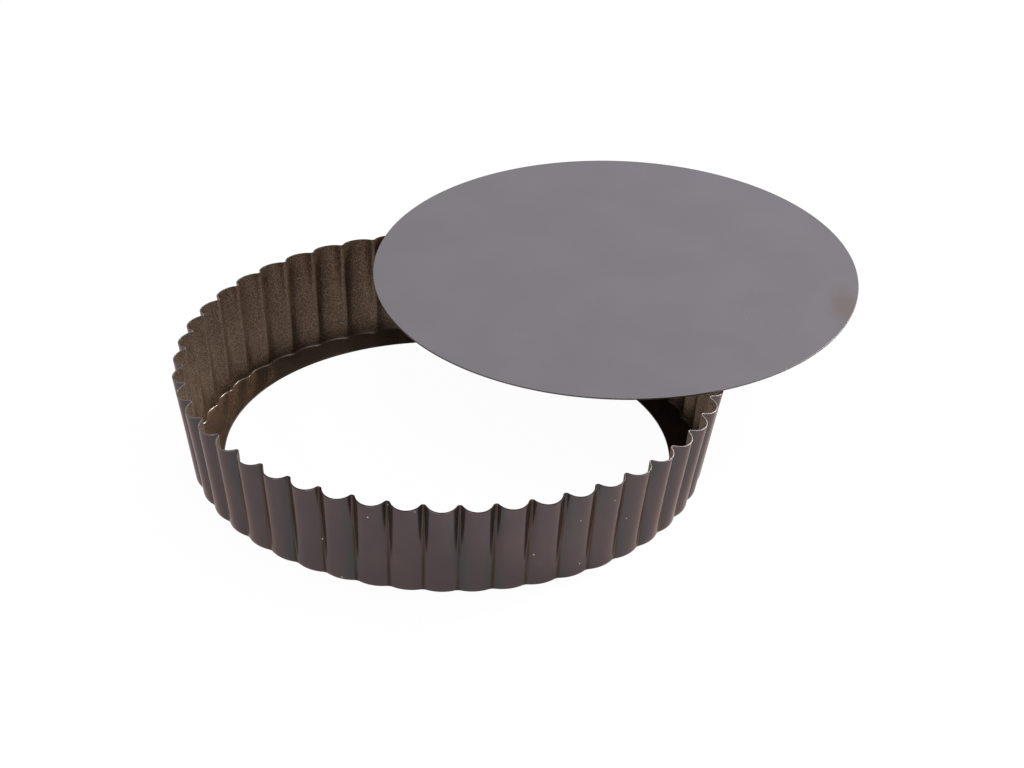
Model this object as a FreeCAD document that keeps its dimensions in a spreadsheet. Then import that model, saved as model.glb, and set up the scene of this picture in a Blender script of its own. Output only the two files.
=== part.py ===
"""Loose-bottom tart pan: a fluted ring with an inward flange, and a flat loose base lying on its rim.

The origin is the centre of the flange opening, on the plane that the ring stands on. +Z is up, and
one flute's crest points along +X. The loose base drops into the ring and rests on the flange; here
it is laid across the rim, off to the right and the back, with its centre of mass inside the rim.
"""

import FreeCAD, Part
import math
import os

import Sketcher

Vector = FreeCAD.Vector
Constraint = Sketcher.Constraint

# Alias, value in millimetres (or a plain count), and what it means.
DRIVING_DIMENSIONS = [
    ("flute_count", 48, "flutes around the ring"),
    ("sheet_gauge", 0.6, "thickness of the ring's sheet, measured level"),
    ("ring_height", 50.0, "height of the ring, at the inside of its valleys"),
    ("rim_crest_radius", 130.55, "outer radius at a flute's crest, at the ring's full height"),
    ("rim_valley_radius", 125.6, "outer radius in the valley between flutes, at the rim"),
    ("rim_fold_radius", 1.0, "radius of the narrow fold between flutes, at the rim"),
    ("rim_trim_radius", 125.3, "radius outside which the rim is trimmed to slope down outwards"),
    ("rim_trim_angle", 14.6, "degrees between the trimmed rim and the level"),
    ("foot_crest_radius", 121.2, "outer radius at a flute's crest, at the top of the foot's bend"),
    ("foot_valley_radius", 119.8, "outer radius in the valley, at the top of the foot's bend"),
    ("foot_fold_radius", 4.0, "radius of the fold between flutes, at the top of the foot's bend"),
    ("bend_height", 1.2, "height of the slanting band that stands for the foot's bend"),
    ("bend_inset", 0.8, "how far that band runs inwards under the wall"),
    ("inner_bend_radius", 0.8, "radius between the flange's top and the inside of the wall"),
    ("opening_radius", 106.0, "radius of the opening inside the flange"),
    ("base_radius", 118.6, "radius of the loose base"),
    ("base_gauge", 0.8, "thickness of the loose base"),
    ("base_edge_break", 0.15, "size of the broken edges around the loose base"),
    ("base_shift_right", 79.4, "how far the loose base lies to the right of the ring's axis"),
    ("base_shift_back", 88.9, "how far the loose base lies behind the ring's axis"),
]

# The sketcher's numbers for its horizontal axis, its origin point, and a curve's named points.
SKETCH_AXIS = -1
START, END, CENTRE = 1, 2, 3

# Signs of a flute's two sides, and how close two heights must be to count as the same.
LEFT, RIGHT = -1, 1
LEVEL_TOLERANCE = 1e-4


def make_sheet(doc):
    """Write the driving dimensions into a spreadsheet, one named cell to a row."""
    sheet = doc.addObject("Spreadsheet::Sheet", "Dimensions")
    for row, (name, value, meaning) in enumerate(DRIVING_DIMENSIONS, start=1):
        sheet.set(f"A{row}", meaning)
        sheet.set(f"B{row}", str(value))
        sheet.setAlias(f"B{row}", name)
    doc.recompute()
    return sheet


def origin_item(body, role):
    """Return one of the body's own origin planes or axes."""
    return next(item for item in body.Origin.OriginFeatures if item.Role == role)


def plane_sketch(body, name, role="XY_Plane", height_expression=None):
    """Add a sketch on one of the body's planes, raised by an expression where one is given."""
    sketch = body.newObject("Sketcher::SketchObject", name)
    sketch.AttachmentSupport = [(origin_item(body, role), "")]
    sketch.MapMode = "FlatFace"
    if height_expression:
        sketch.setExpression("AttachmentOffset.Base.z", height_expression)
    return sketch


def dimension(sketch, name, constraint, expression):
    """Add a named dimension to a sketch and bind it to an expression."""
    index = sketch.addConstraint(constraint)
    sketch.renameConstraint(index, name)
    sketch.setExpression(f"Constraints.{name}", expression)


def polar(radius, angle):
    """Return the point at this radius and angle in a sketch."""
    return Vector(radius * math.cos(angle), radius * math.sin(angle), 0)


def arc(centre, radius, start_angle, end_angle):
    """Return a counter-clockwise arc."""
    circle = Part.Circle(centre, Vector(0, 0, 1), radius)
    return Part.ArcOfCircle(circle, start_angle, end_angle)


class FluteProfile:
    """One flute's outline in a sketch: a wide crest arc between two halves of a narrow fold.

    The crest arc bulges outwards about a centre on the flute's middle line. Each fold's arc has its
    centre outside the ring, on the line half a flute away, and the three arcs meet at a tangent.
    The outline's sizes are one end of the wall's, foot or rim, drawn in by an inset.
    """

    def __init__(self, sketch, sheet, wall_end, inset=0.0, inset_expression="0"):
        self.sketch = sketch
        self.sheet = sheet
        self.wall_end = wall_end
        self.inset_expression = inset_expression
        self.half_pitch = math.pi / sheet.flute_count
        self.crest_radius = sheet.get(f"{wall_end}_crest_radius") - inset
        self.valley_radius = sheet.get(f"{wall_end}_valley_radius") - inset
        self.fold_radius = sheet.get(f"{wall_end}_fold_radius") + inset
        self.fold_distance = self.valley_radius + self.fold_radius
        self.place_crest_arc()
        self.pitch_lines = {side: self.draw_pitch_line(side) for side in (LEFT, RIGHT)}
        left, right = self.pitch_lines[LEFT], self.pitch_lines[RIGHT]
        sketch.addConstraint(Constraint("Symmetric", left, END, right, END, SKETCH_AXIS))

    def place_crest_arc(self):
        """Work out the crest arc that reaches the crest radius and touches both folds."""
        along = self.fold_distance * math.cos(self.half_pitch)
        across = self.fold_distance * math.sin(self.half_pitch)
        step = self.crest_radius - along
        self.crest_arc_radius = (step**2 + across**2 - self.fold_radius**2) / (2 * (step + self.fold_radius))
        self.crest_arc_centre = Vector(self.crest_radius - self.crest_arc_radius, 0, 0)
        self.tangent_angle = math.atan2(across, along - self.crest_arc_centre.x)

    def draw_pitch_line(self, side):
        """Draw a construction line from the ring's axis to the centre of one fold."""
        line = Part.LineSegment(Vector(0, 0, 0), polar(self.fold_distance, side * self.half_pitch))
        index = self.sketch.addGeometry(line, True)
        self.sketch.addConstraint(Constraint("Coincident", index, START, SKETCH_AXIS, START))
        return index

    def draw_fold(self, side, thicken):
        """Draw one half fold, its arc made larger by the sheet between it and the outline."""
        centre = polar(self.fold_distance, side * self.half_pitch)
        angles = sorted(math.pi + side * angle for angle in (self.half_pitch, self.tangent_angle))
        fold = self.sketch.addGeometry(arc(centre, self.fold_radius + thicken, *angles))
        self.sketch.addConstraint(Constraint("Coincident", fold, CENTRE, self.pitch_lines[side], END))
        return fold

    def draw_outline(self, thicken=0.0):
        """Draw the three arcs, moved inwards by the thickness, as (left fold, crest, right fold)."""
        sketch = self.sketch
        left = self.draw_fold(LEFT, thicken)
        right = self.draw_fold(RIGHT, thicken)
        sweep = (-self.tangent_angle, self.tangent_angle)
        crest = sketch.addGeometry(arc(self.crest_arc_centre, self.crest_arc_radius - thicken, *sweep))
        sketch.addConstraint(Constraint("PointOnObject", left, END, self.pitch_lines[LEFT]))
        sketch.addConstraint(Constraint("PointOnObject", right, START, self.pitch_lines[RIGHT]))
        sketch.addConstraint(Constraint("Tangent", left, START, crest, START))
        sketch.addConstraint(Constraint("Tangent", crest, END, right, END))
        return left, crest, right

    def fix_outline(self, outline):
        """Bind the outline's pitch, crest, valley and fold to the sheet."""
        sketch = self.sketch
        left, crest, _ = outline
        sketch.addConstraint(Constraint("PointOnObject", crest, CENTRE, SKETCH_AXIS))
        crest_point = sketch.addGeometry(Part.Point(Vector(self.crest_radius, 0, 0)), True)
        sketch.addConstraint(Constraint("PointOnObject", crest_point, START, SKETCH_AXIS))
        sketch.addConstraint(Constraint("PointOnObject", crest_point, START, crest))
        end = f"Dimensions.{self.wall_end}"
        inset = self.inset_expression
        pitch = Constraint("Angle", SKETCH_AXIS, START, self.pitch_lines[RIGHT], START, self.half_pitch)
        dimension(sketch, "half_pitch", pitch, "180 deg / Dimensions.flute_count")
        reach = Constraint("DistanceX", SKETCH_AXIS, START, crest_point, START, self.crest_radius)
        dimension(sketch, "crest_radius", reach, f"{end}_crest_radius - ({inset})")
        waist = Constraint("Distance", SKETCH_AXIS, START, left, END, self.valley_radius)
        dimension(sketch, "valley_radius", waist, f"{end}_valley_radius - ({inset})")
        fold = Constraint("Radius", left, self.fold_radius)
        dimension(sketch, "fold_radius", fold, f"{end}_fold_radius + ({inset})")

    def fix_inside(self, outer, inner):
        """Make the inner outline concentric with the outer one, one gauge inside it."""
        sketch = self.sketch
        sketch.addConstraint(Constraint("Coincident", inner[1], CENTRE, outer[1], CENTRE))
        fold = Constraint("Radius", inner[0], self.fold_radius + self.sheet.sheet_gauge)
        end = f"Dimensions.{self.wall_end}"
        expression = f"{end}_fold_radius + ({self.inset_expression}) + Dimensions.sheet_gauge"
        dimension(sketch, "inner_fold_radius", fold, expression)

    def draw_opening(self, outline):
        """Draw the opening's arc and the two radial lines that close the outline to it."""
        sketch = self.sketch
        radius = self.sheet.opening_radius
        opening = sketch.addGeometry(arc(Vector(0, 0, 0), radius, -self.half_pitch, self.half_pitch))
        sketch.addConstraint(Constraint("Coincident", opening, CENTRE, SKETCH_AXIS, START))
        size = Constraint("Radius", opening, radius)
        dimension(sketch, "opening_radius", size, "Dimensions.opening_radius")
        sketch.addConstraint(Constraint("PointOnObject", opening, START, self.pitch_lines[LEFT]))
        sketch.addConstraint(Constraint("PointOnObject", opening, END, self.pitch_lines[RIGHT]))
        self.join(outline[0], END, opening, START)
        self.join(outline[2], START, opening, END)

    def join(self, first, first_end, second, second_end):
        """Join two curves' ends with a straight line."""
        sketch = self.sketch
        ends = (sketch.getPoint(first, first_end), sketch.getPoint(second, second_end))
        line = sketch.addGeometry(Part.LineSegment(*ends))
        sketch.addConstraint(Constraint("Coincident", line, START, first, first_end))
        sketch.addConstraint(Constraint("Coincident", line, END, second, second_end))


def wall_section(body, sheet, name, wall_end, height_expression=None, inset=0.0, inset_expression="0"):
    """Sketch the sheet of one flute's wall, cut level."""
    sketch = plane_sketch(body, name, height_expression=height_expression)
    profile = FluteProfile(sketch, sheet, wall_end, inset, inset_expression)
    outer = profile.draw_outline()
    profile.fix_outline(outer)
    inner = profile.draw_outline(sheet.sheet_gauge)
    profile.fix_inside(outer, inner)
    profile.join(outer[0], END, inner[0], END)
    profile.join(outer[2], START, inner[2], START)
    return sketch


def flange_section(body, sheet):
    """Sketch one flute's share of the flange, out to the middle of the bend's slanting sheet."""
    sketch = plane_sketch(body, "flange_section")
    lean = sheet.bend_inset / sheet.bend_height
    inset = sheet.bend_inset + (1 - lean) * sheet.sheet_gauge / 2
    lean_expression = "Dimensions.bend_inset / Dimensions.bend_height"
    inset_expression = f"Dimensions.bend_inset + (1 - {lean_expression}) * Dimensions.sheet_gauge / 2"
    profile = FluteProfile(sketch, sheet, "foot", inset, inset_expression)
    outline = profile.draw_outline()
    profile.fix_outline(outline)
    profile.draw_opening(outline)
    return sketch


def trim_section(body, sheet):
    """Sketch the wedge that is trimmed off above the rim, thicker towards the crests."""
    sketch = plane_sketch(body, "trim_section", role="XZ_Plane")
    width = sheet.rim_crest_radius + sheet.sheet_gauge - sheet.rim_trim_radius
    drop = width * math.tan(math.radians(sheet.rim_trim_angle))
    tip = Vector(sheet.rim_trim_radius, sheet.ring_height, 0)
    corners = [tip, tip + Vector(width, 0, 0), tip + Vector(width, -drop, 0)]
    sides = [sketch.addGeometry(Part.LineSegment(corners[i], corners[i - 2])) for i in range(3)]
    top, back, slope = sides
    for side, following in zip(sides, sides[1:] + sides[:1]):
        sketch.addConstraint(Constraint("Coincident", side, END, following, START))
    sketch.addConstraint(Constraint("Horizontal", top))
    sketch.addConstraint(Constraint("Vertical", back))
    out = Constraint("DistanceX", SKETCH_AXIS, START, top, START, tip.x)
    dimension(sketch, "trim_radius", out, "Dimensions.rim_trim_radius")
    up = Constraint("DistanceY", SKETCH_AXIS, START, top, START, tip.y)
    dimension(sketch, "height", up, "Dimensions.ring_height")
    across = Constraint("DistanceX", top, START, top, END, width)
    clear = "Dimensions.rim_crest_radius + Dimensions.sheet_gauge - Dimensions.rim_trim_radius"
    dimension(sketch, "width", across, clear)
    fall = Constraint("Angle", slope, END, top, START, math.radians(sheet.rim_trim_angle))
    dimension(sketch, "angle", fall, "Dimensions.rim_trim_angle * 1 deg")
    return sketch


def curved_edges_at(shape, level, clear_of):
    """Name the shape's level edges at a height that run around the ring outside a radius."""
    names = []
    for number, edge in enumerate(shape.Edges, start=1):
        box = edge.BoundBox
        is_level = max(abs(box.ZMin - level), abs(box.ZMax - level)) < LEVEL_TOLERANCE
        is_outside = min(math.hypot(point.X, point.Y) for point in edge.Vertexes) > clear_of
        if is_level and is_outside and edge.Curve.TypeId != "Part::GeomLine":
            names.append(f"Edge{number}")
    return names


def build_fluted_ring(doc, sheet):
    """Build one flute's share of wall, bend and flange, and repeat it all the way round."""
    body = doc.addObject("PartDesign::Body", "fluted_ring")
    flange = body.newObject("PartDesign::Pad", "flange")
    flange.Profile = flange_section(body, sheet)
    flange.setExpression("Length", "Dimensions.sheet_gauge")
    foot = wall_section(
        body,
        sheet,
        "foot_section",
        "foot",
        inset=sheet.bend_inset,
        inset_expression="Dimensions.bend_inset",
    )
    heel = wall_section(body, sheet, "heel_section", "foot", "Dimensions.bend_height")
    rim = wall_section(body, sheet, "rim_section", "rim", "Dimensions.ring_height")
    doc.recompute()

    wall = body.newObject("PartDesign::AdditiveLoft", "wall")
    wall.Profile = foot
    wall.Sections = [(heel, [""]), (rim, [""])]
    wall.Ruled = True
    doc.recompute()

    bend = body.newObject("PartDesign::Fillet", "inner_bend")
    seat_limit = sheet.foot_valley_radius - sheet.bend_inset - sheet.sheet_gauge
    bend.Base = (wall, curved_edges_at(wall.Shape, sheet.sheet_gauge, seat_limit))
    bend.setExpression("Radius", "Dimensions.inner_bend_radius")
    doc.recompute()

    trim = body.newObject("PartDesign::Groove", "rim_trim")
    trim.Profile = trim_section(body, sheet)
    trim.ReferenceAxis = (origin_item(body, "Z_Axis"), [""])
    trim.Midplane = True
    trim.setExpression("Angle", "540 deg / Dimensions.flute_count")
    doc.recompute()

    flutes = body.newObject("PartDesign::PolarPattern", "flutes")
    flutes.TransformMode = "Whole shape"
    flutes.Axis = (origin_item(body, "Z_Axis"), [""])
    flutes.Angle = 360
    flutes.setExpression("Occurrences", "Dimensions.flute_count")
    body.Tip = flutes
    return body


def build_loose_base(doc, sheet):
    """Build the flat disc, its edges broken, and lay it on the rim."""
    body = doc.addObject("PartDesign::Body", "loose_base")
    outline = plane_sketch(body, "disc_outline")
    circle = outline.addGeometry(Part.Circle(Vector(0, 0, 0), Vector(0, 0, 1), sheet.base_radius))
    outline.addConstraint(Constraint("Coincident", circle, CENTRE, SKETCH_AXIS, START))
    size = Constraint("Radius", circle, sheet.base_radius)
    dimension(outline, "base_radius", size, "Dimensions.base_radius")

    disc = body.newObject("PartDesign::Pad", "disc")
    disc.Profile = outline
    disc.setExpression("Length", "Dimensions.base_gauge")
    doc.recompute()

    edges = body.newObject("PartDesign::Chamfer", "broken_edges")
    rims = [curved_edges_at(disc.Shape, level, 0.0) for level in (0.0, sheet.base_gauge)]
    edges.Base = (disc, sum(rims, []))
    edges.setExpression("Size", "Dimensions.base_edge_break")

    body.setExpression("Placement.Base.x", "Dimensions.base_shift_right")
    body.setExpression("Placement.Base.y", "Dimensions.base_shift_back")
    body.setExpression("Placement.Base.z", "Dimensions.ring_height")
    return body


def check_document(doc, bodies):
    """Stop if any object failed, or a sub-part isn't one valid solid."""
    for item in doc.Objects:
        if "Invalid" in item.State or "Error" in item.State:
            raise RuntimeError(f"{item.Name} failed: {item.getStatusString()}")
    for body in bodies:
        shape = body.Shape
        if shape.isNull() or not shape.isValid() or len(shape.Solids) != 1:
            raise RuntimeError(f"{body.Label} is not one valid solid")


def check_fits(sheet):
    """Stop if the loose base couldn't drop in on the flange, or would slip off the rim."""
    lean = sheet.bend_inset / sheet.bend_height
    sole_radius = sheet.foot_valley_radius - sheet.bend_inset - sheet.sheet_gauge
    seat_radius = sole_radius + lean * sheet.sheet_gauge
    if not sheet.opening_radius < sheet.base_radius < seat_radius:
        raise ValueError("the loose base doesn't fit between the flange opening and the wall")
    if math.hypot(sheet.base_shift_right, sheet.base_shift_back) > sheet.rim_valley_radius:
        raise ValueError("the loose base's centre lies outside the rim")


def main():
    """Build both pieces, check them and write one STEP file for each."""
    doc = FreeCAD.newDocument("tart_pan")
    sheet = make_sheet(doc)
    check_fits(sheet)
    bodies = [build_fluted_ring(doc, sheet), build_loose_base(doc, sheet)]
    doc.recompute()
    check_document(doc, bodies)
    os.makedirs("parts", exist_ok=True)
    for body in bodies:
        body.Shape.exportStep(f"parts/{body.Label}.step")
        print(body.Label, round(body.Shape.Volume, 1), "mm3", body.Shape.optimalBoundingBox())


main()
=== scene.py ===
"""Finished looks of a deep loose-bottom fluted tart pan.

The pan is two pieces of coated steel sheet: a ring with a fluted wall and a narrow flange, and a loose
round base. Each is a class here that builds its sheet from its sizes and lays its finishes on it. A third
class sets up the table, the light and the camera. All sizes are in metres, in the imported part's own frame.
"""

import logging
import math
from dataclasses import dataclass, field
from enum import IntEnum

import bpy
from mathutils import Euler, Matrix, Vector


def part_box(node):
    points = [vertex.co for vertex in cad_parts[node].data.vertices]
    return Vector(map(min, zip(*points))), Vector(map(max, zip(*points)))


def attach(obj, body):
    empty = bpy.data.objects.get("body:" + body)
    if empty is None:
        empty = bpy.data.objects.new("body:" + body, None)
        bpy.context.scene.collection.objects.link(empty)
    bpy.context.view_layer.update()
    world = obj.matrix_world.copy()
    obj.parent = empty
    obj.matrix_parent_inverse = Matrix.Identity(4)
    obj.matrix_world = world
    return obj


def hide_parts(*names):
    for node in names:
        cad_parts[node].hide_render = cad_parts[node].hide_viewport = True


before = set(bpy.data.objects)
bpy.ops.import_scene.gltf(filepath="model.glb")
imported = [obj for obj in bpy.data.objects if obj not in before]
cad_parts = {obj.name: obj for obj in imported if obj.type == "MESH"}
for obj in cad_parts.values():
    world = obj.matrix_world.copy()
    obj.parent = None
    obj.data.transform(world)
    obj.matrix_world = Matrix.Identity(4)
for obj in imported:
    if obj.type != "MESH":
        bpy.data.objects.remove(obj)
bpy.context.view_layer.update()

LOG = logging.getLogger("tart_pan")
MM = 0.001

Feed = float | int | tuple | bpy.types.NodeSocket
Feeds = dict[str | int, Feed]
Point = tuple[float, float, float]


# ---------------------------------------------------------------------------------------------------
# Node wiring
# ---------------------------------------------------------------------------------------------------


class Wiring:
    """Adds, sets and joins the nodes of one tree."""

    def __init__(self, tree: bpy.types.NodeTree) -> None:
        """Start with an empty tree."""
        tree.nodes.clear()
        self.tree = tree

    def add(self, kind: str, feeds: Feeds | None = None, **settings: object) -> bpy.types.Node:
        """Add one node.

        Args:
            kind: Blender's type name of the node.
            feeds: a value or an output socket for each input, by the input's name or number.
            settings: the node's own properties.

        Returns:
            The node.
        """
        node = self.tree.nodes.new(kind)
        for name, value in settings.items():
            setattr(node, name, value)
        for name, feed in (feeds or {}).items():
            if isinstance(feed, bpy.types.NodeSocket):
                self.tree.links.new(feed, node.inputs[name])
            else:
                node.inputs[name].default_value = feed
        return node

    def math(self, operation: str, *values: Feed) -> bpy.types.NodeSocket:
        """Join values by one arithmetic step.

        Args:
            operation: Blender's name of the step, such as MULTIPLY.
            values: the operands, in order.

        Returns:
            The result's socket.
        """
        return self.add("ShaderNodeMath", dict(enumerate(values)), operation=operation).outputs[0]

    def blend(self, share: Feed, low: Feed, high: Feed) -> bpy.types.NodeSocket:
        """Mix two colours.

        Args:
            share: how much of the second colour shows, 0 to 1.
            low: the colour at share 0.
            high: the colour at share 1.

        Returns:
            The mixed colour's socket.
        """
        return self.add("ShaderNodeMix", {0: share, 6: low, 7: high}, data_type="RGBA").outputs[2]

    def remap(
        self, value: Feed, start: float, end: float, low: float = 0.0, high: float = 1.0
    ) -> bpy.types.NodeSocket:
        """Turn one range of a value smoothly into another.

        Args:
            value: the value to turn.
            start: where the input range starts.
            end: where the input range ends; it may be below start.
            low: the result at start.
            high: the result at end.

        Returns:
            The result's socket.
        """
        node = self.add("ShaderNodeMapRange", {0: value, 1: start, 2: end, 3: low, 4: high})
        node.interpolation_type = "SMOOTHSTEP"
        return node.outputs[0]

    def noise(
        self, place: Feed, size: float, detail: float = 2.0, stretch: Point = (1, 1, 1)
    ) -> bpy.types.NodeSocket:
        """Cloudy noise over the piece.

        Args:
            place: the coordinates to read.
            size: the size of its clouds in metres.
            detail: how many finer layers lie on them.
            stretch: how much closer together the clouds are along each axis.

        Returns:
            The noise's socket, about 0.5 on average.
        """
        mapped = self.add("ShaderNodeMapping", {0: place, 3: stretch}).outputs[0]
        feeds: Feeds = {"Vector": mapped, "Scale": 1 / size, "Detail": detail}
        return self.add("ShaderNodeTexNoise", feeds).outputs[0]

    def specks(
        self, place: Feed, spacing: float, size: float, core: float, share: float
    ) -> bpy.types.NodeSocket:
        """Small round specks, scattered one to a cell in some of the cells.

        Args:
            place: the coordinates to read.
            spacing: the size of a cell in metres.
            size: the radius of a speck in metres.
            core: how much of the radius is full, before it fades out.
            share: how many of the cells hold a speck, 0 to 1.

        Returns:
            The specks' socket, 1 inside them.
        """
        cells = self.add("ShaderNodeTexVoronoi", {"Vector": place, "Scale": 1 / spacing})
        near = self.remap(cells.outputs["Distance"], size / spacing, size * core / spacing)
        draw = self.add("ShaderNodeSeparateColor", {0: cells.outputs["Color"]}).outputs[0]
        return self.math("MULTIPLY", near, self.math("GREATER_THAN", draw, 1 - share))


class Paint:
    """A material being wired: its coordinates, its sheet attributes and its surface shader."""

    def __init__(self, name: str) -> None:
        """Make the empty material.

        Args:
            name: the material's name.
        """
        self.material = bpy.data.materials.new(name)
        self.material.use_nodes = True
        self.wires = Wiring(self.material.node_tree)
        self.place = self.wires.add("ShaderNodeTexCoord").outputs["Object"]

    def sheet(self, name: str) -> bpy.types.NodeSocket:
        """Read one of the numbers that the sheet carries at its points."""
        return self.wires.add("ShaderNodeAttribute", attribute_name=name).outputs["Fac"]

    def relief(self, height: Feed, depth: float, under: Feed | None = None) -> bpy.types.NodeSocket:
        """Raise the surface by a pattern.

        Args:
            height: the pattern, 0 to 1.
            depth: how deep it is in metres.
            under: a relief that this one lies on.

        Returns:
            The raised normal's socket.
        """
        feeds: Feeds = {"Height": height, "Distance": depth, "Strength": 1.0}
        if under is not None:
            feeds["Normal"] = under
        return self.wires.add("ShaderNodeBump", feeds).outputs[0]

    def finish(self, feeds: Feeds) -> bpy.types.Material:
        """Close the material with its surface shader.

        Args:
            feeds: the shader's inputs by name.

        Returns:
            The finished material.
        """
        shader = self.wires.add("ShaderNodeBsdfPrincipled", feeds)
        self.wires.add("ShaderNodeOutputMaterial", {"Surface": shader.outputs[0]})
        return self.material


# ---------------------------------------------------------------------------------------------------
# Finishes
# ---------------------------------------------------------------------------------------------------


@dataclass(frozen=True)
class OuterLacquer:
    """Dark brown metallic lacquer, as on the outside of the ring."""

    name: str = "outer_lacquer"
    colour: tuple = (0.120, 0.089, 0.093, 1)
    thin_colour: tuple = (0.132, 0.096, 0.096, 1)
    grey_reflection_colour: tuple = (0.090, 0.088, 0.092, 1)
    warm_colour: tuple = (0.135, 0.084, 0.060, 1)
    pooled_and_shade_colour: tuple = (0.058, 0.040, 0.030, 1)
    fleck_colour: tuple = (0.95, 0.90, 0.88, 1)
    edge_tint: tuple = (1.0, 0.84, 0.78, 1)
    metallic: float = 0.80
    roughness: float = 0.17
    cloud_size: float = 14 * MM
    run_size: float = 4 * MM
    run_stretch: Point = (1, 1, 0.12)
    patch_size: float = 16 * MM
    patch_stretch: Point = (1, 1, 0.25)
    fleck_spacing: float = 3.0 * MM
    fleck_size: float = 0.34 * MM
    fleck_core: float = 0.833
    fleck_share: float = 0.045
    peel_size: float = 0.9 * MM
    peel_depth: float = 0.003 * MM
    swell_size: float = 9 * MM
    swell_depth: float = 0.03 * MM

    def make(self) -> bpy.types.Material:
        """Lay the lacquer: cloudy brown, with painted grey reflection in patches on the flanks and folds,
        darker where it pools in a fold and painted shade falls there, painted shade towards the foot, lighter
        at the rim from wear and painted sheen, with chips and a soft peel.

        Returns:
            The finished material.
        """
        paint = Paint(self.name)
        wires = paint.wires
        fold, rise = paint.sheet("fold"), paint.sheet("rise")
        clouds = wires.remap(wires.noise(paint.place, self.cloud_size, 3.0), 0.35, 0.7)
        runs = wires.noise(paint.place, self.run_size, 2.0, self.run_stretch)
        colour = wires.blend(clouds, self.colour, self.thin_colour)
        patches = wires.remap(wires.noise(paint.place, self.patch_size, 2.0, self.patch_stretch), 0.38, 0.60)
        # Painted reflection: grey in patches on the flanks and in the folds, standing in for the coat's
        # reflection where little light reaches the brown.
        grey_reflection = wires.math("MULTIPLY", wires.remap(fold, 0.2, 0.55, 0.15, 1.0), patches)
        colour = wires.blend(grey_reflection, colour, self.grey_reflection_colour)
        warm = wires.math("MULTIPLY", wires.remap(fold, 0.5, 0.85), wires.remap(runs, 0.35, 0.65, 0.2, 0.9))
        colour = wires.blend(warm, colour, self.warm_colour)
        # Darker in the folds: lacquer pooled there, plus painted shade.
        pooled_and_shade = wires.math("MULTIPLY", wires.remap(fold, 0.55, 1.0), wires.remap(runs, 0.3, 0.6, 0.5, 1.0))
        colour = wires.blend(pooled_and_shade, colour, self.pooled_and_shade_colour)
        # Painted shade: darker towards the foot, next to the table.
        foot = wires.remap(rise, 0.035, 0.004, 0.0, 0.8)
        colour = wires.blend(foot, colour, self.pooled_and_shade_colour)
        # Lighter band just under the rim: wear plus painted sheen.
        on_rim = wires.remap(rise, 0.984, 0.998)
        wear_and_sheen = wires.math("MULTIPLY", on_rim, wires.remap(runs, 0.5, 0.7, 0.0, 0.2))
        colour = wires.blend(wear_and_sheen, colour, self.fleck_colour)
        flecks = wires.specks(
            paint.place, self.fleck_spacing, self.fleck_size, self.fleck_core, self.fleck_share
        )
        colour = wires.blend(flecks, colour, self.fleck_colour)
        peel = wires.noise(paint.place, self.peel_size, 1.0)
        swells = paint.relief(wires.noise(paint.place, self.swell_size, 1.0), self.swell_depth)
        return paint.finish(
            {
                "Base Color": colour,
                "Roughness": wires.remap(clouds, 0.0, 1.0, self.roughness - 0.02, self.roughness + 0.03),
                "Metallic": self.metallic,
                "Specular Tint": self.edge_tint,
                "Normal": paint.relief(peel, self.peel_depth, swells),
            }
        )


@dataclass(frozen=True)
class ReleaseCoat:
    """Speckled metallic release coat, as on the inside of the ring."""

    name: str = "release_coat"
    dark: tuple = (0.070, 0.047, 0.032, 1)
    light: tuple = (0.275, 0.185, 0.126, 1)
    grain_colour: tuple = (0.62, 0.46, 0.35, 1)
    flange_colour: tuple = (0.130, 0.096, 0.070, 1)
    flange_dark: tuple = (0.106, 0.078, 0.057, 1)
    edge_tint: tuple = (0.60, 0.48, 0.38, 1)
    cloud_size: float = 11 * MM
    grain_size: float = 0.50 * MM
    grain_depth: float = 0.11 * MM
    spark_size: float = 0.35 * MM
    metallic: float = 0.74
    roughness: float = 0.34
    gloss: float = 0.12
    bend_gloss: float = 0.50
    gloss_roughness: float = 0.15
    gloss_depth: float = 0.04 * MM

    def make(self) -> bpy.types.Material:
        """Lay the coat: fine light grains on a dark ground, glossier on the bend, smooth on the flange,
        lighter on the fold ridges from wear and painted highlight.

        Returns:
            The finished material.
        """
        paint = Paint(self.name)
        wires = paint.wires
        fold, rise = paint.sheet("fold"), paint.sheet("rise")
        clouds = wires.remap(wires.noise(paint.place, self.cloud_size, 3.0), 0.3, 0.75)
        grain = wires.noise(paint.place, self.grain_size, 3.0)
        on_wall = wires.remap(rise, 0.02, 0.07)
        on_bend = wires.remap(rise, 0.013, 0.018, 0.0, self.bend_gloss)
        on_bend = wires.math("MULTIPLY", on_bend, wires.remap(rise, 0.06, 0.034))
        mottle = wires.math("MULTIPLY", wires.remap(grain, 0.36, 0.66), wires.remap(clouds, 0, 1, 0.7, 1.0))
        colour = wires.blend(mottle, self.dark, self.light)
        smooth = wires.blend(clouds, self.flange_colour, self.flange_dark)
        colour = wires.blend(on_wall, smooth, colour)
        sparks = wires.remap(wires.noise(paint.place, self.spark_size, 2.0), 0.58, 0.74)
        colour = wires.blend(wires.math("MULTIPLY", sparks, on_wall), colour, self.grain_colour)
        # Lighter on the fold ridges of the inner wall: wear plus painted highlight.
        wear_and_sheen = wires.math("MULTIPLY", wires.remap(fold, 0.6, 1.0, 0.0, 0.15), on_wall)
        colour = wires.blend(wear_and_sheen, colour, self.light)
        bumps = wires.math("MULTIPLY", grain, on_wall)
        return paint.finish(
            {
                "Base Color": colour,
                "Roughness": wires.remap(grain, 0.3, 0.7, self.roughness - 0.08, self.roughness + 0.08),
                "Metallic": self.metallic,
                "Specular Tint": self.edge_tint,
                "Normal": paint.relief(bumps, self.grain_depth),
                "Coat Weight": wires.math("ADD", on_bend, self.gloss),
                "Coat Roughness": self.gloss_roughness,
                "Coat Normal": paint.relief(bumps, self.gloss_depth),
            }
        )


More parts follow.
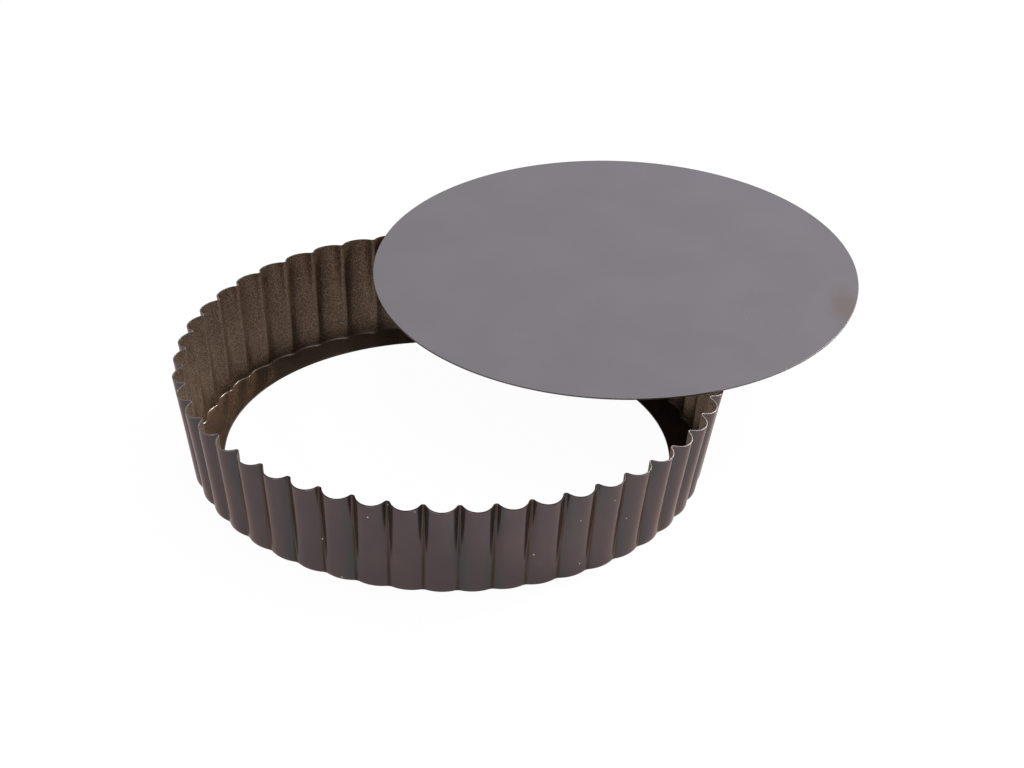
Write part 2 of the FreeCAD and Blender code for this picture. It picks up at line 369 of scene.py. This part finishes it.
@dataclass(frozen=True)
class BareEdge:
    """Sheared steel edge, where the sheet was cut: painted highlight bright at the left and right sides,
    painted shade dull at the front and back.
    """

    name: str = "bare_edge"
    bright: tuple = (0.26, 0.225, 0.22, 1)
    dull: tuple = (0.024, 0.017, 0.015, 1)
    side_highlight_start: float = 74 * MM
    side_highlight_full: float = 108 * MM
    border_noise_size: float = 9 * MM
    border_reach: float = 30 * MM
    burr_size: float = 0.5 * MM
    burr_depth: float = 0.03 * MM
    metallic: float = 0.85
    roughness: float = 0.45

    def make(self) -> bpy.types.Material:
        """Lay the steel: painted highlight bright at the sides, painted shade dull at the front and back.

        Returns:
            The finished material.
        """
        paint = Paint(self.name)
        wires = paint.wires
        across = wires.math("ABSOLUTE", wires.add("ShaderNodeSeparateXYZ", {0: paint.place}).outputs[0])
        border_noise = wires.math("SUBTRACT", wires.noise(paint.place, self.border_noise_size, 3.0), 0.5)
        ragged = wires.math("MULTIPLY", border_noise, self.border_reach)
        # Painted light: dull painted shade at the front and back, bright painted highlight at the left and
        # right sides, with a ragged border between.
        front_back_shade = wires.remap(wires.math("ADD", across, ragged), self.side_highlight_full, self.side_highlight_start)
        burr = wires.noise(paint.place, self.burr_size, 2.0)
        return paint.finish(
            {
                "Base Color": wires.blend(front_back_shade, self.bright, self.dull),
                "Metallic": self.metallic,
                "Roughness": wires.remap(burr, 0.3, 0.7, self.roughness - 0.1, self.roughness + 0.12),
                "Normal": paint.relief(burr, self.burr_depth),
            }
        )


@dataclass(frozen=True)
class BaseCoat:
    """Even satin coat of the loose base, with a faint reddish-brown patch near one edge."""

    centre: Point
    name: str = "base_coat"
    colour: tuple = (0.180, 0.164, 0.186, 1)
    deep_colour: tuple = (0.152, 0.138, 0.157, 1)
    speck_colour: tuple = (0.225, 0.210, 0.232, 1)
    speck_spacing: float = 7.0 * MM
    speck_size: float = 0.45 * MM
    speck_core: float = 0.778
    speck_share: float = 0.07
    cloud_size: float = 38 * MM
    cloud_share: float = 0.25
    grain_size: float = 0.7 * MM
    grain_depth: float = 0.012 * MM
    tint_colour: tuple = (0.150, 0.115, 0.108, 1)
    tint_turn: float = -13.0
    tint_reach: float = 113.5 * MM
    tint_squeeze: Point = (1.7, 0.8, 1)
    tint_outer: float = 27 * MM
    tint_inner: float = 9 * MM
    tint_ragged: float = 12 * MM
    tint_ragged_size: float = 9 * MM
    roughness: float = 0.42

    def make(self) -> bpy.types.Material:
        """Lay the coat: a very fine grain with a few specks, slow clouds and the reddish patch.

        Returns:
            The finished material.
        """
        paint = Paint(self.name)
        wires = paint.wires
        shift = tuple(-value for value in self.centre)
        local = wires.add("ShaderNodeVectorMath", {0: paint.place, 1: shift}, operation="ADD").outputs[0]
        clouds = wires.remap(wires.noise(local, self.cloud_size, 4.0), 0.3, 0.7)
        grain = wires.noise(local, self.grain_size, 2.0)
        cloudy = wires.math("MULTIPLY", clouds, self.cloud_share)
        tone = wires.math("ADD", cloudy, wires.math("MULTIPLY", grain, 1 - self.cloud_share))
        colour = wires.blend(tone, self.deep_colour, self.colour)
        specks = wires.specks(local, self.speck_spacing, self.speck_size, self.speck_core, self.speck_share)
        colour = wires.blend(specks, colour, self.speck_colour)
        colour = wires.blend(self.tint(paint, local), colour, self.tint_colour)
        return paint.finish(
            {
                "Base Color": colour,
                "Roughness": wires.remap(clouds, 0.0, 1.0, self.roughness - 0.02, self.roughness + 0.03),
                "Normal": paint.relief(grain, self.grain_depth),
            }
        )

    def tint(self, paint: Paint, local: Feed) -> bpy.types.NodeSocket:
        """Mark out the reddish patch: one ragged oval near the edge.

        Args:
            paint: the material being wired.
            local: the coordinates from the base's centre.

        Returns:
            The tint's socket, how much of it shows.
        """
        wires = paint.wires
        turn = math.radians(self.tint_turn)
        narrow, tall, _ = self.tint_squeeze
        spot = (narrow * self.tint_reach * math.cos(turn), tall * self.tint_reach * math.sin(turn), 0.0)
        squeezed = wires.add("ShaderNodeMapping", {0: local, 3: self.tint_squeeze}).outputs[0]
        away = wires.add("ShaderNodeVectorMath", {0: squeezed, 1: spot}, operation="DISTANCE")
        noise = wires.noise(local, self.tint_ragged_size, 3.0)
        ragged = wires.math("ADD", away.outputs["Value"], wires.math("MULTIPLY", noise, self.tint_ragged))
        return wires.remap(ragged, self.tint_outer, self.tint_inner, 0.0, 0.8)


@dataclass(frozen=True)
class TableTop:
    """White table that also glows, so that it and the backdrop melt into one white."""

    name: str = "table_white"
    albedo: float = 0.30
    glow: float = 0.47
    veil: float = 0.045
    seen_glow: float = 0.97
    mist_size: float = 0.4
    mist_depth: float = 0.01

    def layer(self, paint: Paint, albedo: Feed, glow: float) -> bpy.types.NodeSocket:
        """Matt white that also glows.

        Args:
            paint: the material being wired.
            albedo: how much light the white returns.
            glow: how much it gives by itself.

        Returns:
            The layer's shader.
        """
        grey = paint.wires.add("ShaderNodeCombineColor", {0: albedo, 1: albedo, 2: albedo}).outputs[0]
        matt = paint.wires.add("ShaderNodeBsdfDiffuse", {"Color": grey}).outputs[0]
        light = paint.wires.add("ShaderNodeEmission", {"Strength": glow}).outputs[0]
        return paint.wires.add("ShaderNodeAddShader", {0: matt, 1: light}).outputs[0]

    def make(self) -> bpy.types.Material:
        """Lay the white: dimmer as a light on the pan than as it is seen, with a very faint mist in it.

        Returns:
            The finished material.
        """
        paint = Paint(self.name)
        wires = paint.wires
        mist = wires.noise(paint.place, self.mist_size, 2.0)
        mist = wires.remap(mist, 0.3, 0.7, self.albedo - self.mist_depth, self.albedo)
        seen = wires.add("ShaderNodeLightPath").outputs["Is Camera Ray"]
        lit = self.layer(paint, mist, self.glow)
        shown = self.layer(paint, self.veil, self.seen_glow)
        both = wires.add("ShaderNodeMixShader", {0: seen, 1: lit, 2: shown})
        wires.add("ShaderNodeOutputMaterial", {"Surface": both.outputs[0]})
        return paint.material


# ---------------------------------------------------------------------------------------------------
# The fluted ring
# ---------------------------------------------------------------------------------------------------


class Zone(IntEnum):
    """Which finish a face of a sheet piece takes; the value is the face's number in the sheet."""

    OUTSIDE = 0
    INSIDE = 1
    CUT = 2


@dataclass(frozen=True)
class FluteOutline:
    """One flute seen from above at one height: a crest arc that runs into half a fold on either side."""

    crest: float
    valley: float
    fold: float
    half_pitch: float

    def trace(self, inset: float, fold_steps: int, crest_steps: int) -> list[tuple[float, float]]:
        """Points along a line parallel to the outline.

        Args:
            inset: how far inside the outline the line runs.
            fold_steps: steps over each half fold.
            crest_steps: steps over the crest.

        Returns:
            The points from one valley over the crest to the next, with the crest on +X.
        """
        reach = self.valley + self.fold
        along, across = reach * math.cos(self.half_pitch), reach * math.sin(self.half_pitch)
        step = self.crest - along
        radius = (step**2 + across**2 - self.fold**2) / (2 * (step + self.fold))
        middle = self.crest - radius
        tangent = math.atan2(across, along - middle)
        half_fold = []
        for i in range(fold_steps):
            turn = math.pi - self.half_pitch + (self.half_pitch - tangent) * i / fold_steps
            half_fold.append(
                (along + (self.fold + inset) * math.cos(turn), -across + (self.fold + inset) * math.sin(turn))
            )
        crest = []
        for i in range(crest_steps + 1):
            turn = -tangent + 2 * tangent * i / crest_steps
            crest.append((middle + (radius - inset) * math.cos(turn), (radius - inset) * math.sin(turn)))
        return half_fold + crest + [(x, -y) for x, y in reversed(half_fold)]


@dataclass(frozen=True)
class Row:
    """One row of points of the ring's sheet, from valley to valley.

    Attributes:
        height: its height above the foot, before the rim's trim draws it down at the crest.
        inset: how far inside the outer outline it runs.
        to_opening: how far it has moved over the flange towards the round opening, 0 to 1.
        zone: the finish of the faces between this row and the next.
    """

    height: float
    inset: float
    zone: Zone
    to_opening: float = 0.0


@dataclass
class FlutedRing:
    """The ring: a fluted wall rolled inwards at its foot into a flat flange with a round opening."""

    flutes: int = 48
    height: float = 50 * MM
    gauge: float = 0.6 * MM
    rim_crest: float = 130.55 * MM
    rim_valley: float = 125.6 * MM
    rim_fold: float = 1.0 * MM
    trim_radius: float = 125.3 * MM
    trim_slope: float = math.tan(math.radians(14.6))
    foot_crest: float = 121.2 * MM
    foot_valley: float = 119.8 * MM
    foot_fold: float = 4.0 * MM
    foot_level: float = 1.2 * MM
    bend: float = 1.7 * MM
    opening: float = 106.0 * MM
    edge_break: float = 0.07 * MM
    unevenness: float = 0.7 * MM
    sway_size: float = 26 * MM
    sway_seed: float = 7.0
    weld: float = 0.01 * MM
    rim_band: float = 0.5 * MM
    wall_shares: tuple[float, ...] = (0.9, 0.78, 0.66, 0.54, 0.42, 0.3, 0.18, 0.08)
    flange_shares: tuple[float, ...] = (0.06, 0.4, 0.94)
    bend_steps: int = 5
    fold_steps: int = 5
    crest_steps: int = 14
    finishes: dict[Zone, bpy.types.Material] = field(default_factory=dict)

    def outlines(self) -> tuple[FluteOutline, FluteOutline]:
        """The outlines at the foot and at the rim.

        Returns:
            The foot's outline, then the rim's.
        """
        half = math.pi / self.flutes
        return (
            FluteOutline(self.foot_crest, self.foot_valley, self.foot_fold, half),
            FluteOutline(self.rim_crest, self.rim_valley, self.rim_fold, half),
        )

    def rows(self) -> list[Row]:
        """The rows of the sheet: down the outside, under the flange, over it and up the inside.

        Returns:
            The rows, in that order.
        """
        top, brk = self.height, self.edge_break
        levels = [top - brk, top - self.rim_band] + [top * share for share in self.wall_shares]
        turns = [math.radians(90 * i / self.bend_steps) for i in range(self.bend_steps + 1)]
        inner_bend = self.bend - self.gauge
        rows = [Row(level, 0.0, Zone.OUTSIDE) for level in levels]
        for turn in turns:
            level, inset = self.bend * (1 - math.sin(turn)), self.bend * (1 - math.cos(turn))
            rows.append(Row(level, inset, Zone.OUTSIDE))
        for share in self.flange_shares:
            rows.append(Row(0.0, self.bend, Zone.OUTSIDE, share))
        edge = 1 - brk / (self.foot_valley - self.bend - self.opening)
        rows += [Row(0.0, self.bend, Zone.CUT, edge), Row(brk, self.bend, Zone.CUT, 1.0)]
        rows.append(Row(self.gauge - brk, self.bend, Zone.CUT, 1.0))
        rows.append(Row(self.gauge, self.bend, Zone.INSIDE, edge))
        for share in reversed(self.flange_shares):
            rows.append(Row(self.gauge, self.bend, Zone.INSIDE, share))
        for turn in reversed(turns):
            level, inset = self.bend - inner_bend * math.sin(turn), self.bend - inner_bend * math.cos(turn)
            rows.append(Row(level, inset, Zone.INSIDE))
        rows += [Row(level, self.gauge, Zone.INSIDE) for level in reversed(levels)]
        rows[-1] = Row(top - brk, self.gauge, Zone.CUT)
        rows += [Row(top, self.gauge - brk, Zone.CUT), Row(top, brk, Zone.CUT)]
        return rows

    def row_points(self, row: Row) -> list[Point]:
        """The points of one row of one flute.

        Args:
            row: the row to trace.

        Returns:
            Its points, from valley to valley.
        """
        foot, rim = (line.trace(row.inset, self.fold_steps, self.crest_steps) for line in self.outlines())
        wall = self.height - self.foot_level
        points = []
        for (fx, fy), (rx, ry) in zip(foot, rim):
            reach = math.hypot(rx, ry)
            lean = (reach - math.hypot(fx, fy)) / wall
            drop = self.trim_slope * max(0.0, reach - self.trim_radius) / (1 + self.trim_slope * lean)
            z = row.height - drop * (row.height / self.height) ** 2
            rise = max(0.0, (z - self.foot_level) / wall)
            x, y = fx + (rx - fx) * rise, fy + (ry - fy) * rise
            if row.to_opening:
                turn = math.atan2(y, x)
                x += (self.opening * math.cos(turn) - x) * row.to_opening
                y += (self.opening * math.sin(turn) - y) * row.to_opening
            points.append((x, y, z))
        return points

    def flute_sheet(self) -> bpy.types.Object:
        """One flute of the ring as a strip of sheet, with its fold, rise and zone numbers.

        Returns:
            The strip's object, open at its two valleys.
        """
        rows = self.rows()
        columns = 2 * self.fold_steps + self.crest_steps + 1
        points, folds, rises = [], [], []
        for row in rows:
            line = self.row_points(row)
            points += line
            folds += [abs(2 * i / (columns - 1) - 1) for i in range(columns)]
            rises += [row.height / self.height] * columns
        faces, zones = [], []
        for r, row in enumerate(rows):
            below = (r + 1) % len(rows)
            for c in range(columns - 1):
                here, under = r * columns + c, below * columns + c
                faces.append((here, under, under + 1, here + 1))
                zones.append(int(row.zone))
        mesh = bpy.data.meshes.new("flute_sheet")
        mesh.from_pydata(points, [], faces)
        mesh.attributes.new("fold", "FLOAT", "POINT").data.foreach_set("value", folds)
        mesh.attributes.new("rise", "FLOAT", "POINT").data.foreach_set("value", rises)
        mesh.attributes.new("zone", "INT", "FACE").data.foreach_set("value", zones)
        mesh.polygons.foreach_set("use_smooth", [True] * len(faces))
        for material in self.finishes.values():
            mesh.materials.append(material)
        sheet = bpy.data.objects.new("flute_sheet", mesh)
        bpy.context.scene.collection.objects.link(sheet)
        return sheet

    def press_tree(self) -> bpy.types.NodeTree:
        """The tree that repeats the flute round the ring, joins the flutes and lays each zone's finish.

        Returns:
            The tree, with the number of flutes, the unevenness and its seed as inputs.
        """
        tree = bpy.data.node_groups.new("press_flutes", "GeometryNodeTree")
        face = tree.interface
        face.new_socket("Flute", in_out="INPUT", socket_type="NodeSocketGeometry")
        face.new_socket("Flutes", in_out="INPUT", socket_type="NodeSocketInt")
        face.new_socket("Unevenness", in_out="INPUT", socket_type="NodeSocketFloat")
        face.new_socket("Seed", in_out="INPUT", socket_type="NodeSocketFloat")
        face.new_socket("Ring", in_out="OUTPUT", socket_type="NodeSocketGeometry")
        wires = Wiring(tree)
        given = wires.add("NodeGroupInput").outputs
        turn = wires.math("MULTIPLY", wires.add("GeometryNodeInputIndex").outputs[0], math.tau)
        turn = wires.math("DIVIDE", turn, given["Flutes"])
        spin = wires.add("ShaderNodeCombineXYZ", {"Z": turn}).outputs[0]
        stations = wires.add("GeometryNodePoints", {"Count": given["Flutes"]}).outputs[0]
        copies = wires.add(
            "GeometryNodeInstanceOnPoints", {"Points": stations, "Instance": given["Flute"], "Rotation": spin}
        ).outputs[0]
        solid = wires.add("GeometryNodeRealizeInstances", {0: copies}).outputs[0]
        welded = {"Geometry": solid, "Distance": self.weld}
        joined = wires.add("GeometryNodeMergeByDistance", welded).outputs[0]
        place = wires.add("GeometryNodeInputPosition").outputs[0]
        level = wires.add("ShaderNodeVectorMath", {0: place, 1: (1, 1, 0)}, operation="MULTIPLY").outputs[0]
        outward = wires.add("ShaderNodeVectorMath", {0: level}, operation="NORMALIZE").outputs[0]
        sway = wires.add(
            "ShaderNodeTexNoise",
            {"Vector": place, "W": given["Seed"], "Scale": 1 / self.sway_size, "Detail": 0.0},
            noise_dimensions="4D",
        ).outputs[0]
        rise = wires.add("GeometryNodeInputNamedAttribute", {"Name": "rise"}, data_type="FLOAT").outputs[0]
        push = wires.math("MULTIPLY", wires.math("SUBTRACT", sway, 0.5), given["Unevenness"])
        offset = wires.add(
            "ShaderNodeVectorMath", {0: outward, 3: wires.math("MULTIPLY", push, rise)}, operation="SCALE"
        ).outputs[0]
        shape = wires.add("GeometryNodeSetPosition", {"Geometry": joined, "Offset": offset}).outputs[0]
        zone = wires.add("GeometryNodeInputNamedAttribute", {"Name": "zone"}, data_type="INT").outputs[0]
        for number, material in self.finishes.items():
            chosen = wires.add(
                "FunctionNodeCompare", {2: zone, 3: int(number)}, data_type="INT", operation="EQUAL"
            ).outputs[0]
            feeds: Feeds = {"Geometry": shape, "Selection": chosen, "Material": material}
            shape = wires.add("GeometryNodeSetMaterial", feeds).outputs[0]
        wires.add("NodeGroupOutput", {"Ring": shape})
        return tree

    def build(self) -> bpy.types.Object:
        """Press the whole ring and hang it on its body.

        Returns:
            The finished ring.
        """
        self.finishes = {
            Zone.OUTSIDE: OuterLacquer().make(),
            Zone.INSIDE: ReleaseCoat().make(),
            Zone.CUT: BareEdge().make(),
        }
        sizes = {"Flutes": self.flutes, "Unevenness": self.unevenness, "Seed": self.sway_seed}
        sheet = self.flute_sheet()
        ring = grow(sheet, self.press_tree(), sizes, "ring_sheet")
        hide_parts("fluted_ring")
        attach(ring, "ring")
        return ring


def grow(
    seed: bpy.types.Object, tree: bpy.types.NodeTree, sizes: dict[str, float | int], name: str
) -> bpy.types.Object:
    """Run a tree on an object and keep the result as a plain piece.

    Args:
        seed: the object that the tree starts from; it is removed.
        tree: the geometry tree.
        sizes: a value for each named input of the tree.
        name: the piece's name.

    Returns:
        The piece, with its place in its mesh.
    """
    step = seed.modifiers.new("grow", "NODES")
    step.node_group = tree
    for item in tree.interface.items_tree:
        if item.in_out == "INPUT" and item.name in sizes:
            step[item.identifier] = sizes[item.name]
    bpy.context.view_layer.update()
    depsgraph = bpy.context.evaluated_depsgraph_get()
    mesh = bpy.data.meshes.new_from_object(seed.evaluated_get(depsgraph), depsgraph=depsgraph)
    seed.modifiers.clear()
    bpy.data.objects.remove(seed)
    mesh.name = name
    piece = bpy.data.objects.new(name, mesh)
    bpy.context.scene.collection.objects.link(piece)
    return piece


# ---------------------------------------------------------------------------------------------------
# The loose base
# ---------------------------------------------------------------------------------------------------


@dataclass
class LooseBase:
    """The loose base: a flat round of coated sheet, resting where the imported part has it."""

    node: str = "loose_base"
    edge_break: float = 0.18 * MM
    steps: int = 192
    ring_steps: int = 12
    arc_steps: int = 3
    rim_band: float = 1.2 * MM
    # Its side highlight starts below zero, so this edge is bright all round.
    edge: BareEdge = BareEdge("base_bare_edge", bright=(0.20, 0.17, 0.17, 1), side_highlight_start=-1.0, side_highlight_full=-0.5)

    def section(self, radius: float, low: float, high: float) -> list[tuple[float, float, Zone]]:
        """Half the round's section, from the middle of its top to the middle of its underside.

        Args:
            radius: the round's radius.
            low: the level of its underside.
            high: the level of its top.

        Returns:
            Radius, level and the zone of the band that starts there.
        """
        brk = self.edge_break
        flat = [radius * i / self.ring_steps for i in range(1, self.ring_steps)]
        flat += [radius - self.rim_band, radius - 2 * brk]
        arc = [math.radians(90 * i / self.arc_steps) for i in range(self.arc_steps + 1)]
        path = [(r, high, Zone.INSIDE) for r in flat]
        path += [(radius - brk + brk * math.sin(a), high - brk + brk * math.cos(a), Zone.CUT) for a in arc]
        path += [(radius - brk + brk * math.cos(a), low + brk - brk * math.sin(a), Zone.CUT) for a in arc]
        path += [(r, low, Zone.INSIDE) for r in reversed(flat)]
        return path

    def build(self) -> bpy.types.Object:
        """Cut the round and hang it on its body.

        Returns:
            The finished base.
        """
        corner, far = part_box(self.node)
        centre = (corner + far) / 2
        path = self.section((far.x - corner.x) / 2, corner.z, far.z)
        points: list[Point] = []
        for radius, level, _ in path:
            for i in range(self.steps):
                turn = math.tau * i / self.steps
                points.append((centre.x + radius * math.cos(turn), centre.y + radius * math.sin(turn), level))
        top, bottom = len(points), len(points) + 1
        points += [(centre.x, centre.y, far.z), (centre.x, centre.y, corner.z)]
        faces: list[tuple[int, ...]] = []
        zones: list[int] = []
        for i in range(self.steps):
            after = (i + 1) % self.steps
            faces.append((top, i, after))
            zones.append(int(Zone.INSIDE))
            for band in range(len(path) - 1):
                here, below = band * self.steps, (band + 1) * self.steps
                faces.append((here + i, below + i, below + after, here + after))
                zones.append(int(path[band][2]))
            last = (len(path) - 1) * self.steps
            faces.append((bottom, last + after, last + i))
            zones.append(int(Zone.INSIDE))
        mesh = bpy.data.meshes.new("base_sheet")
        mesh.from_pydata(points, [], faces)
        mesh.polygons.foreach_set("use_smooth", [True] * len(faces))
        mesh.materials.append(BaseCoat((centre.x, centre.y, far.z)).make())
        mesh.materials.append(self.edge.make())
        mesh.polygons.foreach_set("material_index", [int(zone == Zone.CUT) for zone in zones])
        base = bpy.data.objects.new("base_sheet", mesh)
        bpy.context.scene.collection.objects.link(base)
        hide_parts(self.node)
        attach(base, "base")
        return base


# ---------------------------------------------------------------------------------------------------
# Table, light and camera
# ---------------------------------------------------------------------------------------------------


@dataclass(frozen=True)
class Softbox:
    """One square soft light, aimed at the pan."""

    name: str
    place: Point
    size: float
    power: float

    def hang(self, aim: Vector) -> bpy.types.Object:
        """Hang the light.

        Args:
            aim: the point that it faces.

        Returns:
            The light's object.
        """
        lamp = bpy.data.lights.new(self.name, "AREA")
        lamp.shape = "SQUARE"
        lamp.size = self.size
        lamp.energy = self.power
        light = bpy.data.objects.new(self.name, lamp)
        light.location = self.place
        light.rotation_euler = (aim - Vector(self.place)).to_track_quat("-Z", "Y").to_euler()
        bpy.context.scene.collection.objects.link(light)
        return light


@dataclass(frozen=True)
class Viewpoint:
    """Where the camera stands, by the point that it faces and its distance and angles from there."""

    aim: Point = (30.09 * MM, 17.37 * MM, 29.27 * MM)
    distance: float = 2.1392
    elevation: float = 30.685
    roll: float = 1.46
    lens: float = 157.55
    sensor_width: float = 36.0
    clip_end: float = 60.0

    def place(self) -> bpy.types.Object:
        """Put up the camera and make it the scene's own.

        Returns:
            The camera.
        """
        data = bpy.data.cameras.new("view")
        data.lens, data.sensor_width, data.clip_end = self.lens, self.sensor_width, self.clip_end
        camera = bpy.data.objects.new("view", data)
        tilt = Euler((math.radians(90 - self.elevation), 0, 0)).to_matrix()
        turn = tilt @ Matrix.Rotation(math.radians(self.roll), 3, "Z")
        stand = Vector(self.aim) + turn @ Vector((0, 0, self.distance))
        camera.matrix_world = Matrix.Translation(stand) @ turn.to_4x4()
        bpy.context.scene.collection.objects.link(camera)
        bpy.context.scene.camera = camera
        return camera


@dataclass
class Studio:
    """The white table and the soft light round the pan."""

    sky: float = 0.30
    backdrop: float = 1.0
    table_size: float = 24.0
    light_aim: Point = (0.03, 0.02, 0.03)
    lights: tuple[Softbox, ...] = (
        Softbox("key_softbox", (1.62, 1.10, 1.20), 0.7, 52.0),
        Softbox("overhead_softbox", (0.2, 0.3, 2.0), 1.2, 12.0),
        Softbox("fill_softbox", (-1.5, -0.9, 1.5), 0.7, 8.0),
    )

    def table(self) -> bpy.types.Object:
        """Lay the table under the pan's foot.

        Returns:
            The table.
        """
        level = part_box("fluted_ring")[0].z
        half = self.table_size / 2
        mesh = bpy.data.meshes.new("table")
        corners = [(-half, -half, level), (half, -half, level), (half, half, level), (-half, half, level)]
        mesh.from_pydata(corners, [], [(0, 1, 2, 3)])
        mesh.materials.append(TableTop().make())
        table = bpy.data.objects.new("table", mesh)
        bpy.context.scene.collection.objects.link(table)
        return table

    def surround(self) -> bpy.types.World:
        """Set the even white room light and the brighter white that shows behind the table.

        Returns:
            The room's world.
        """
        world = bpy.data.worlds.new("white_room")
        world.use_nodes = True
        room = Wiring(world.node_tree)
        seen = room.add("ShaderNodeLightPath").outputs["Is Camera Ray"]
        extra = room.math("MULTIPLY", seen, self.backdrop - self.sky)
        level = room.math("ADD", extra, self.sky)
        light = room.add("ShaderNodeBackground", {"Color": (1, 1, 1, 1), "Strength": level})
        room.add("ShaderNodeOutputWorld", {"Surface": light.outputs[0]})
        bpy.context.scene.world = world
        return world

    def build(self) -> None:
        """Set up table, room light, softboxes and camera."""
        bpy.context.scene.view_settings.view_transform = "Standard"
        self.table()
        self.surround()
        for softbox in self.lights:
            softbox.hang(Vector(self.light_aim))
        Viewpoint().place()


def main() -> None:
    """Build the ring, the base and the studio, and report each piece."""
    logging.basicConfig(level=logging.INFO, format="%(name)s: %(message)s")
    for maker in (FlutedRing(), LooseBase()):
        piece = maker.build()
        LOG.info("%s: %d faces", piece.name, len(piece.data.polygons))
    Studio().build()
    LOG.info("table, light and camera are up")


if __name__ == "__main__":
    main()
